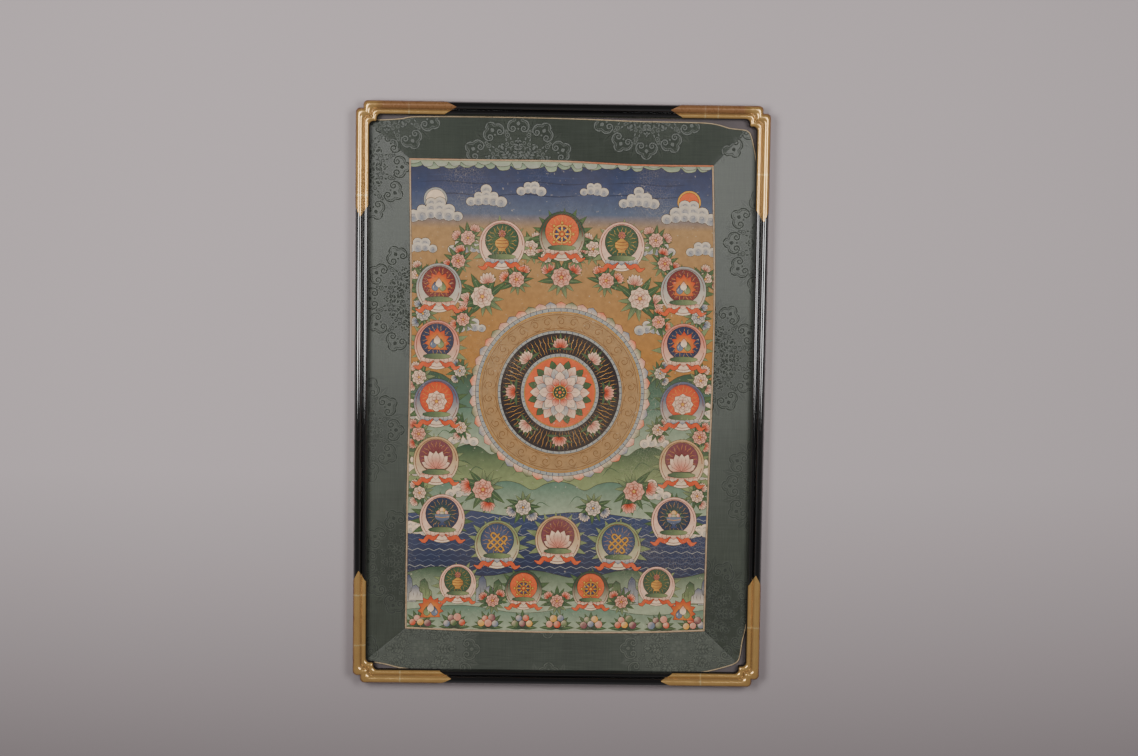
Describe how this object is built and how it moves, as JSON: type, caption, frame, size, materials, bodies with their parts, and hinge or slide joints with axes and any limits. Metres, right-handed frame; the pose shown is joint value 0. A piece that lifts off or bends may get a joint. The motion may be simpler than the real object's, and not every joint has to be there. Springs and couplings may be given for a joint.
{
  "type": "framed thangka painting with damask mount",
  "caption": "Painted cotton panel with a silk edging and mitred damask mount, laid on a board in a black lacquered frame with gilded, indented corners.",
  "frame": {"origin": "middle of the frame's back, which lies on the surface", "axes": "+X to the picture's right, +Y to its top, +Z out of its face"},
  "size_m": [0.605, 0.86, 0.024],
  "materials": {
    "painted_cotton": "matt distemper on sized cotton, in blues, greens, creams and orange-red",
    "edging_silk": "narrow silk strip, tan to orange-red",
    "damask": "silk damask, dark grey-green, woven tone on tone in large round medallions",
    "binding": "thin tan bound edge",
    "board": "matt dark grey-brown board",
    "lacquer": "wood under gloss black lacquer",
    "gilding": "burnished gold leaf over red-brown bole on wood, with lap lines"
  },
  "bodies": {
    "root": {"painting_canvas": "painted_cotton", "edging_top": "edging_silk", "edging_right": "edging_silk", "edging_bottom": "edging_silk", "edging_left": "edging_silk", "mount_top": "damask", "mount_right": "damask", "mount_bottom": "damask", "mount_left": "damask", "binding_top": "binding", "binding_right": "binding", "binding_bottom": "binding", "binding_left": "binding", "backing_board": "board", "frame_rail_top": "lacquer", "frame_rail_right": "lacquer", "frame_rail_bottom": "lacquer", "frame_rail_left": "lacquer", "frame_corner_top_left": "gilding", "frame_corner_top_right": "gilding", "frame_corner_bottom_left": "gilding", "frame_corner_bottom_right": "gilding"}
  },
  "joints": []
}
